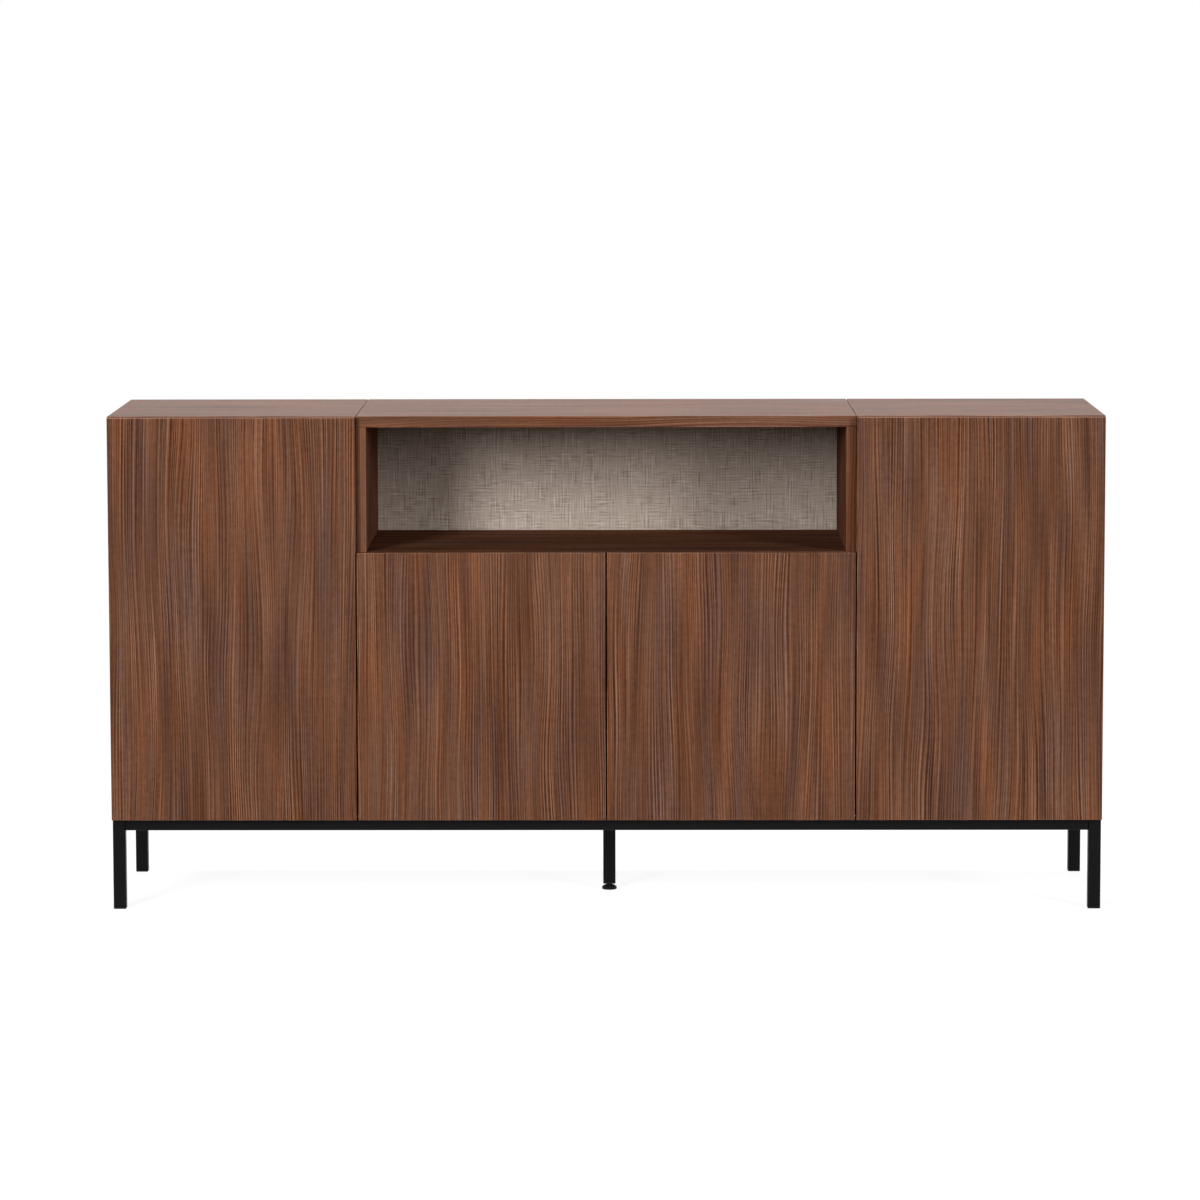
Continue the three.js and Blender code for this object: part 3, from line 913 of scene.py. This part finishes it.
# The boards round the niche have no sheen.
niche_boards = ("niche_floor", "centre_cabinet_left_side", "centre_cabinet_right_side")
for number, (node, axes) in enumerate(cabinet_boards):
    shift = (0.37 * number, 0.23 * number + 1.7, 1.3 * number)
    sheen = 0.0 if node in niche_boards else board_sheen
    painted_sheen_strip_tone = next((tone for kind, tone in painted_sheen_strip_tones.items() if node.endswith(kind)), None)
    make_piece(
        f"{node}_board",
        [eased_board(*drawn_in(*node_box(node), seam_places, seam_inset), board_ease)],
        walnut_finish(f"walnut_{node}", *axes, shift, sheen, painted_sheen_strip_tone),
        stands_for=[node],
    )


# Niche back. A thin board faced on both sides with a linen-look laminate: a greige crosshatch of
# slubby upright and level threads, dry to the touch.

linen_weave, weave_in, weave_out = new_group(
    "linen_weave",
    {"Vector": "NodeSocketVector"},
    {"Color": "NodeSocketColor", "Height": "NodeSocketFloat"},
)


def ramp(tree, value, stops):
    """A colour that runs through stops of (position, colour) as a value grows."""
    made = put(tree, "ShaderNodeValToRGB", {"Fac": value})
    band = made[0].node.color_ramp
    while len(band.elements) < len(stops):
        band.elements.new(0.5)
    for element, (position, color) in zip(band.elements, stops):
        element.position = position
        element.color = (*color, 1.0)
    return made["Color"]


def thread_noise(across, up, detail=0.0):
    """Noise round nought, stretched along one of the two threads, in cycles a metre."""
    stretched = scaled(linen_weave, weave_in["Vector"], (across, 1.0, up))
    return calculated(linen_weave, "SUBTRACT", noise(linen_weave, stretched, detail)["Fac"], 0.5)


def drawn_threads(axis, slubs, wander, patches, strong):
    """Even threads and random slubs, which show more in some patches than in others.

    The even threads are a sine across the axis, and slow noise shifts it a little.
    """
    thread_spacing = 0.0056
    turn = summed(linen_weave, [(weave_axes[axis], 2 * math.pi / thread_spacing), (wander, 9.0)])
    wave = calculated(linen_weave, "SINE", turn)
    drawn = summed(linen_weave, [(wave, 0.12), (slubs, 1.05)])
    strength = between(linen_weave, patches, -0.18, 0.18, to_low=0.25, to_high=strong)
    return calculated(linen_weave, "MULTIPLY", drawn, strength)


weave_axes = put(linen_weave, "ShaderNodeSeparateXYZ", {0: weave_in["Vector"]})
upright_threads = drawn_threads(
    "X",
    thread_noise(440.0, 26.0, detail=0.5),
    thread_noise(40.0, 9.0),
    thread_noise(60.0, 28.0),
    strong=1.0,
)
level_threads = drawn_threads(
    "Z",
    thread_noise(44.0, 440.0, detail=0.5),
    thread_noise(9.0, 40.0),
    thread_noise(28.0, 60.0),
    strong=0.85,
)
weave = calculated(linen_weave, "ADD", upright_threads, level_threads)
cloudy = thread_noise(7.0, 7.0, detail=2.0)
weave_color = ramp(
    linen_weave,
    summed(linen_weave, [(weave, 0.8), (cloudy, 0.12)], total=0.5),
    [
        (0.20, linear(149, 135, 122)),
        (0.50, linear(187, 172, 160)),
        (0.80, linear(214, 201, 190)),
    ],
)
linen_weave.links.new(weave_color, weave_out["Color"])
linen_weave.links.new(weave, weave_out["Height"])

linen_material, linen_tree, linen_shader = new_finish(
    "linen_laminate", linear(190, 175, 163), roughness=0.75, specular=0.2
)
linen_cloth = put(
    linen_tree,
    "ShaderNodeGroup",
    {"Vector": put(linen_tree, "ShaderNodeTexCoord", {})["Object"]},
    node_tree=linen_weave,
)
linen_tree.links.new(linen_cloth["Color"], linen_shader["Base Color"])
linen_relief = 0.0003
bumped(linen_tree, linen_shader, linen_cloth["Height"], linen_relief)
make_piece(
    "niche_linen_back",
    [eased_board(*node_box("niche_back"), board_ease)],
    (linen_material, "linen_board"),
    stands_for=["niche_back"],
)


# Doors. Boards of the same laminate with upright grain, bored from behind for two hinge cups
# each. They close over the cabinets' front edges and have no handles.


def rectangle_ring(low_x, high_x, low_z, high_z, count):
    """Points round a rectangle from its lower left corner, count to a side."""
    share = np.arange(count) / count
    x = low_x + (high_x - low_x) * share
    z = low_z + (high_z - low_z) * share
    return np.concatenate(
        [
            np.stack([x, np.full(count, low_z)], axis=-1),
            np.stack([np.full(count, high_x), z], axis=-1),
            np.stack([low_x + high_x - x, np.full(count, high_z)], axis=-1),
            np.stack([np.full(count, low_x), low_z + high_z - z], axis=-1),
        ]
    )


def bored_door(low, high, bores, bore_radius, bore_depth, ease, count=12):
    """A door in two halves that share their middle line, each with one bore in its back.

    The back of a half is ruled between the points round it and those round its bore. The edge
    profile carries the outer points of both halves round to the front.
    """
    thickness = high[1] - low[1]
    middle_z = (low[2] + high[2]) / 2

    def halves(inset):
        sides = (low[0] + inset, high[0] - inset)
        return (
            rectangle_ring(*sides, low[2] + inset, middle_z, count),
            rectangle_ring(*sides, middle_z, high[2] - inset, count),
        )

    def outline(inset):
        lower, upper = halves(inset)
        return np.concatenate([lower[: 2 * count], upper[count:], lower[3 * count :]])

    insets, heights = edge_profile(thickness, ease)
    place = (0.0, low[1], 0.0)
    edge = stack([outline(inset) for inset in insets], thickness - heights)
    parts = [loft(laid(edge, "xzy", place), first_cap=False)]
    circle = bore_radius * on_circle(full_turn(4 * count) - 0.75 * math.pi)
    for half, bore in zip(halves(insets[0]), bores):
        ring = circle + np.asarray(bore)
        wall = stack([half, ring, ring], [thickness, thickness, thickness - bore_depth])
        parts.append(loft(laid(wall, "xzy", place), first_cap=False))
    return parts


# Each door's hinged edge: 1 if the door runs towards +X from it, and -1 if towards -X.
door_hands = {"left_door": 1, "centre_left_door": 1, "centre_right_door": -1, "right_door": -1}
door_ease = 0.0013
cup_from_edge = 0.0225
hinge_from_end = 0.090
cup_bore_radius = 0.0178
cup_bore_depth = 0.0118
door_shifts = [(0.0, 0.0, 0.0), (0.9, 3.1, 2.0), (1.7, 5.3, 4.1), (0.4, 8.2, 6.6)]
hinge_rows = {}
for (door, hand), shift in zip(door_hands.items(), door_shifts):
    low, high = node_box(door)
    hinged_x = low[0] if hand > 0 else high[0]
    rows = (low[2] + hinge_from_end, high[2] - hinge_from_end)
    bores = [(hinged_x + hand * cup_from_edge, row) for row in rows]
    make_piece(
        f"{door}_panel",
        bored_door(low, high, bores, cup_bore_radius, cup_bore_depth, door_ease),
        walnut_finish(f"walnut_{door}", "Z", "X", shift),
        door,
        [door],
    )
    hinge_rows[door] = (hinged_x, low[1], dict(zip(("lower", "upper"), rows)))


# Concealed hinges. Pressed and nickel-plated steel: a cup with a flange screwed to the back of
# the door, an arm on a plate screwed to the cabinet's side, and links between cup and arm.

nickel_plate = mottled_finish(
    "nickel_plate",
    "nickel_steel",
    dark=(0.50, 0.49, 0.46),
    light=(0.68, 0.67, 0.63),
    smooth=0.2,
    rough=0.36,
    cycles=600.0,
    relief=0.00002,
    metallic=1.0,
)


def hung(points, door, row):
    """Points of a hinge, given from the door's hinged edge, face and hinge height, in place."""
    edge_x, face_y, rows = hinge_rows[door]
    return points * (door_hands[door], 1.0, 1.0) + (edge_x, face_y, rows[row])


def pressed_cup(wall_radius, rim_radius, depth_bottom, depth_rim, wall):
    """A bowl with a flange: one profile carried round the cup's middle line.

    The flange reaches the farther of the rim's circle and a slot with round ends, along each
    direction from the middle.
    """
    steps = 96
    half_width, half_length = 0.0125, 0.031
    end_centre = half_length - half_width
    angle = full_turn(steps)
    sine, cosine = np.abs(np.sin(angle)), np.abs(np.cos(angle))
    to_side = half_width / np.maximum(sine, 1e-9)
    under_root = np.maximum(half_width**2 - (end_centre * sine) ** 2, 0.0)
    to_end = end_centre * cosine + np.sqrt(under_root)
    slot = np.where(to_side * cosine < end_centre, to_side, to_end)
    flange = np.maximum(slot, rim_radius)
    inside = wall_radius - wall
    fillet_insets, fillet_heights = quarter_round(0.002, 5)
    ease = 0.0003
    flange_low = depth_rim - wall
    inner_floor = depth_bottom + wall
    rows = [(pole_radius, inner_floor)]
    rows += list(zip(inside - fillet_insets, inner_floor + fillet_heights))
    rows += [(inside, depth_rim - ease), (inside + ease, depth_rim)]
    rows += [(flange - ease, depth_rim), (flange, depth_rim - ease), (flange, flange_low)]
    rows += [(wall_radius, flange_low)]
    rows += list(zip(wall_radius - fillet_heights, depth_bottom + fillet_insets))
    rows += [(pole_radius, depth_bottom)]
    reach = np.array([np.broadcast_to(radius, steps) for radius, _ in rows])
    outlines = reach[..., None] * np.stack([np.sin(angle), np.cos(angle)], axis=-1)
    return stack(outlines, [height for _, height in rows])


def screw_head(radius, height, slot_reach=0.62, slot_half=0.16, slot_depth=0.55):
    """A domed head with a cross recess, over radius and angle, and an upright rim down to a flat foot.

    Its height falls with the square of the radius, less the recess wherever a point lies inside
    either bar of the cross.
    """
    steps = 32
    share = np.concatenate([np.linspace(0.02, 0.7, 12), [0.8, 0.9, 1.0]])
    angle = full_turn(steps)
    across = share[:, None] * np.cos(angle)
    along = share[:, None] * np.sin(angle)

    def bar(one, other):
        inside = np.clip((slot_half - np.abs(one)) / 0.05 + 0.5, 0.0, 1.0)
        return inside * np.clip((slot_reach - np.abs(other)) / 0.08 + 0.5, 0.0, 1.0)

    recess = np.maximum(bar(across, along), bar(along, across))
    dome = height * (1.0 - 0.45 * share[:, None] ** 2 - slot_depth * recess)
    top = np.stack([radius * across, radius * along, dome], axis=-1)
    skirt = np.stack([top[-1, :, 0], top[-1, :, 1], np.zeros(steps)], axis=-1)
    return np.concatenate([top, skirt[None]])


cup_radius = 0.0175
cup_rim_radius = 0.0183
cup_bottom = 0.0065
cup_flange_back = 0.0193
cup_wall = 0.001
flange_screw_radius = 0.0034
flange_screw_height = 0.0016
flange_screw_spacing = 0.0225
arm_outer = 0.0280
arm_nose = 0.0100
arm_round = 0.0011
arm_screw_places = (0.050, 0.066)
nose_pin_radius, nose_pin_half = 0.0016, 0.0056
plate_foot, plate_back = 0.01695, 0.0195
plate_front_v, plate_rear_v = 0.0420, 0.0860
plate_height = 0.030
plate_screw_spacing = 0.0112


def shaped_arm():
    """Loops along the arm from nose to tail, each a rounded rectangle of its own size and place."""
    along = np.array([0, 0.6, 2, 4, 12, 16, 24, 34, 58, 70, 74.5, 75.5, 76]) * 1e-3
    widths = np.array([7, 9, 10.4, 11, 11, 11, 12, 12, 12, 12, 11, 10, 8]) * 1e-3
    fronts = np.array([22.6, 21.4, 20.5, 20.1, 20, 20, 20, 20, 20, 20, 20.4, 21, 22]) * 1e-3
    backs = np.array([25.4, 26.6, 27.2, 27.4, 27.4, 27.4, 28, 28, 28, 27.4, 26.6, 26, 25]) * 1e-3
    depths = backs - fronts
    outlines = [
        rounded_rectangle(depth, width, arm_round, steps=4) + ((front + back) / 2, 0.0)
        for depth, width, front, back in zip(depths, widths, fronts, backs)
    ]
    return stack(outlines, arm_nose + along)


def mounting_plate():
    """A flat foot with a raised middle, stacked away from the cabinet's side."""
    length = plate_rear_v - plate_front_v
    ease = 0.0004
    sizes = [
        (length - 2 * ease, plate_height - 2 * ease, 0.006, plate_foot),
        (length, plate_height, 0.006, plate_foot + ease),
        (length, plate_height, 0.006, plate_back - ease),
        (length - 2 * ease, plate_height - 2 * ease, 0.006, plate_back),
        (length - 0.006, 0.0145, 0.002, plate_back),
        (length - 0.006, 0.0145, 0.002, 0.0225),
        (length - 0.007, 0.0135, 0.002, 0.0230),
    ]
    outlines = [rounded_rectangle(long, wide, round_, steps=5) for long, wide, round_, _ in sizes]
    return stack(outlines, [height for *_, height in sizes])


def link_strip(start, end, half_width, thickness):
    """A flat link from the arm's nose into the cup, its ends rounded about the pins."""
    share = np.linspace(0.0, 1.0, 25)
    end_share = 1 / 6
    past_pin = np.clip((np.abs(2 * share - 1) - 1) / end_share + 1, 0.0, 1.0)
    reach = half_width * np.sqrt(np.clip(1.0 - past_pin**2, 0.05, 1.0))
    middle = np.asarray(start) + share[:, None] * (np.asarray(end) - np.asarray(start))
    corners = np.array([[-1, -1], [1, -1], [1, 1], [-1, 1]])
    points = np.empty((len(share), 4, 3))
    points[..., 0] = middle[:, :1]
    points[..., 1] = middle[:, 1:] + corners[:, 0] * thickness / 2
    points[..., 2] = corners[:, 1] * reach[:, None]
    return points


def pin(centre, radius, half_length):
    """A riveted pin along the hinge's upright axis, with domed ends."""
    sweep = np.linspace(0.05, math.pi / 2, 5)
    dome = 0.0008
    radii = np.concatenate([radius * np.sin(sweep), radius * np.sin(sweep[::-1])])
    heights = np.concatenate(
        [-half_length - dome * np.cos(sweep), half_length + dome * np.cos(sweep[::-1])]
    )
    return turned(np.stack([radii, heights], axis=-1), 20) + (*centre, 0.0)


link_start, link_end = (0.0236, 0.0125), (0.0122, 0.0125)
for door, hand in door_hands.items():
    for row in ("lower", "upper"):
        hinge = f"{door}_{row}_hinge"
        cup = laid(
            pressed_cup(cup_radius, cup_rim_radius, cup_bottom, cup_flange_back, cup_wall),
            "xzy",
            (cup_from_edge, 0.0, 0.0),
        )
        heads = [
            laid(
                screw_head(flange_screw_radius, flange_screw_height),
                "xzy",
                (cup_from_edge, cup_flange_back, offset),
            )
            for offset in (-flange_screw_spacing, flange_screw_spacing)
        ]
        make_piece(
            f"{hinge}_pressed_cup",
            [loft(hung(loops, door, row)) for loops in [cup] + heads],
            nickel_plate,
            door,
            [f"{hinge}_cup"],
        )
        arm = laid(shaped_arm(), "xzy", (0.0, 0.0, 0.0))
        plate_middle_v = (plate_front_v + plate_rear_v) / 2
        plate = laid(mounting_plate(), "yzx", (0.0, plate_middle_v, 0.0))
        plate_screws = [
            laid(screw_head(radius=0.0034, height=0.0014), "yzx", (plate_back, plate_middle_v, offset))
            for offset in (-plate_screw_spacing, plate_screw_spacing)
        ]
        arm_screws = [
            laid(screw_head(radius=0.0031, height=0.0009), "yzx", (arm_outer, v, 0.0))
            for v in arm_screw_places
        ]
        nose_pin = pin(link_start, nose_pin_radius, nose_pin_half)
        make_piece(
            f"{hinge}_arm_and_plate",
            [
                loft(hung(loops, door, row))
                for loops in [arm, plate, nose_pin] + plate_screws + arm_screws
            ],
            nickel_plate,
            stands_for=[f"{hinge}_arm"],
        )
        strip = link_strip(link_start, link_end, half_width=0.0042, thickness=0.0012)
        links = make_piece(f"{hinge}_links", [loft(hung(strip, door, row))], nickel_plate, body=None)
        edge_x, face_y, rows = hinge_rows[door]
        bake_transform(links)


# Push latches. A grey moulded housing screwed under the board above each door's free edge, with
# a sprung black plunger that pushes the door out when the door is pressed.

grey_moulding = mottled_finish(
    "grey_moulding",
    "grey_plastic",
    dark=(0.20, 0.21, 0.22),
    light=(0.29, 0.30, 0.31),
    smooth=0.42,
    rough=0.56,
    cycles=1200.0,
    relief=0.00005,
)


def latch_shell(width, height, length, bore_radius, bore_depth):
    """From a cap at the back over a waisted body to the front face, and into the plunger's bore."""
    ease = 0.0008
    waist = 0.0009
    corner = 0.0022
    collar = 0.014
    bore_ease = 0.0005
    full = rounded_rectangle(width, height, corner)
    eased = rounded_rectangle(width - 2 * ease, height - 2 * ease, corner - ease)
    slim = rounded_rectangle(width - 2 * waist, height - 2 * waist, corner - waist)
    bore = round_hole(full, bore_radius)
    bore_eased = round_hole(full, bore_radius + bore_ease)
    outlines = [bore, bore, bore_eased, eased, full, full, slim, slim, full, full, eased]
    places = [bore_depth, bore_ease, 0.0, 0.0, ease, collar, collar + waist]
    places += [length - collar - waist, length - collar, length - ease, length]
    return stack(outlines, places)


plunger_bore_radius = 0.0043
plunger_bore_depth = 0.049
stem_inset = 0.0006
tip_length, tail_length = 0.006, 0.0115
pin_ease = 0.0005
for door in door_hands:
    low, high = node_box(f"{door}_latch_housing")
    middle = (low + high) / 2
    shell = latch_shell(
        high[0] - low[0], high[2] - low[2], high[1] - low[1], plunger_bore_radius, plunger_bore_depth
    )
    make_piece(
        f"{door}_latch_shell",
        [loft(laid(shell, "xzy", (middle[0], low[1], middle[2])))],
        grey_moulding,
        stands_for=[f"{door}_latch_housing"],
    )
    low, high = node_box(f"{door}_latch_plunger")
    middle = (low + high) / 2
    radius = (high[0] - low[0]) / 2
    stem = radius - stem_inset
    length = high[1] - low[1]
    tail = length - tail_length
    profile = [(pole_radius, 0.0), (radius - 0.0016, 0.0), (radius - 0.0005, 0.0004), (radius, 0.0013)]
    profile += [(radius, tip_length), (stem, tip_length + stem_inset), (stem, tail - pin_ease)]
    profile += [(radius, tail), (radius, length - pin_ease), (radius - pin_ease, length)]
    profile += [(pole_radius, length)]
    make_piece(
        f"{door}_latch_pin",
        [loft(laid(turned(profile, 32), "xzy", (middle[0], low[1], middle[2])))],
        black_moulding,
        f"{door.removesuffix('_door')}_latch_plunger",
        [f"{door}_latch_plunger"],
    )


# Fixings. Nickel and zinc fastenings that show from behind, from below or past an open door: pins
# under the shelves, cam discs in the boards, bolts that hold the cabinets to each other and to the
# base, screws in the latches, and moulded blocks screwed on behind the backs.


def fastened(points, looks, place):
    """A fastening made along the third axis, turned to look along a world axis such as -z."""
    sign, axis = looks
    order = {"x": "yzx", "y": "xzy", "z": "xyz"}[axis]
    return loft(laid(points * (1.0, 1.0, -1.0 if sign == "-" else 1.0), order, place))


def pair(low, high, inset):
    """Two places, an inset in from each end."""
    return low + inset, high - inset


pin_radius, pin_length = 0.0025, 0.0085
pin_from_edge = 0.037
pin_profile = [(pole_radius, 0.0), (pin_radius, 0.0), (pin_radius, pin_length - 0.0011)]
pin_profile += [(pin_radius - 0.0006, pin_length - 0.0002), (pole_radius, pin_length)]
shelf_pin = turned(pin_profile, 24)
shelf_pins = []
for cabinet in ("left", "centre", "right"):
    low, high = node_box(f"{cabinet}_cabinet_shelf")
    for y in pair(low[1], high[1], pin_from_edge):
        for x, looks in ((low[0], "+x"), (high[0], "-x")):
            shelf_pins.append(fastened(shelf_pin, looks, (x, y, low[2] - pin_radius)))
make_piece("shelf_pins", shelf_pins, nickel_plate)

cam_disc = screw_head(radius=0.0075, height=0.0006, slot_reach=0.5)
cam_from_end, cam_from_edge = 0.034, 0.060
cam_discs = []
for node in ("left_cabinet_bottom", "centre_cabinet_bottom", "right_cabinet_bottom", "niche_floor"):
    low, high = node_box(node)
    for x in pair(low[0], high[0], cam_from_end):
        for y in pair(low[1], high[1], cam_from_edge):
            cam_discs.append(fastened(cam_disc, "-z", (x, y, low[2])))
for cabinet in ("left", "right"):
    for side, looks, corner in (("left_side", "+x", 1), ("right_side", "-x", 0)):
        side_box = node_box(f"{cabinet}_cabinet_{side}")
        for y in pair(side_box[0][1], side_box[1][1], cam_from_edge):
            place = (side_box[corner][0], y, side_box[1][2] - cam_from_end)
            cam_discs.append(fastened(cam_disc, looks, place))
make_piece("cam_discs", cam_discs, nickel_plate)

cabinet_bolt = screw_head(radius=0.0065, height=0.0024)
bolt_from_edge = 0.105
bolt_heights = (0.228, 0.590)
cabinet_bolts = []
for node, looks, corner in (
    ("left_cabinet_right_side", "-x", 0),
    ("centre_cabinet_left_side", "+x", 1),
    ("centre_cabinet_right_side", "-x", 0),
    ("right_cabinet_left_side", "+x", 1),
):
    side_box = node_box(node)
    for y in pair(side_box[0][1], side_box[1][1], bolt_from_edge):
        for z in bolt_heights:
            cabinet_bolts.append(fastened(cabinet_bolt, looks, (side_box[corner][0], y, z)))
make_piece("cabinet_bolts", cabinet_bolts, zinc_plate)

base_bolts = []
for place in ("left", "centre", "right"):
    low, high = node_box(f"base_{place}_frame")
    for y in pair(low[1], high[1], bolt_from_edge):
        rail_foot = ((low[0] + high[0]) / 2, y, high[2] - tube_side)
        base_bolts.append(fastened(cabinet_bolt, "-z", rail_foot))
make_piece("base_bolts", base_bolts, zinc_plate)

small_screw = screw_head(radius=0.0029, height=0.0012)
latch_screw_from_end = 0.007
latch_screws = []
for door in door_hands:
    low, high = node_box(f"{door}_latch_housing")
    for y in pair(low[1], high[1], latch_screw_from_end):
        latch_screws.append(fastened(small_screw, "-z", ((low[0] + high[0]) / 2, y, low[2])))
make_piece("latch_screws", latch_screws, zinc_plate)

block_size = np.array([0.018, 0.012, 0.030])
block_from_end = 0.050
block_ease = 0.0008
back_blocks, block_screws = [], []
for node in ("left_cabinet_back", "centre_cabinet_back", "niche_back", "right_cabinet_back"):
    low, high = node_box(node)
    for x in (low[0], high[0] - block_size[0]):
        for z in pair(low[2], high[2], block_from_end):
            block_low = np.array([x, high[1], z - block_size[2] / 2])
            back_blocks.append(eased_board(block_low, block_low + block_size, block_ease))
            face = block_low + block_size * (0.5, 1.0, 0.5)
            block_screws.append(fastened(small_screw, "+y", face))
make_piece("back_blocks", back_blocks, black_moulding)
make_piece("back_block_screws", block_screws, zinc_plate)
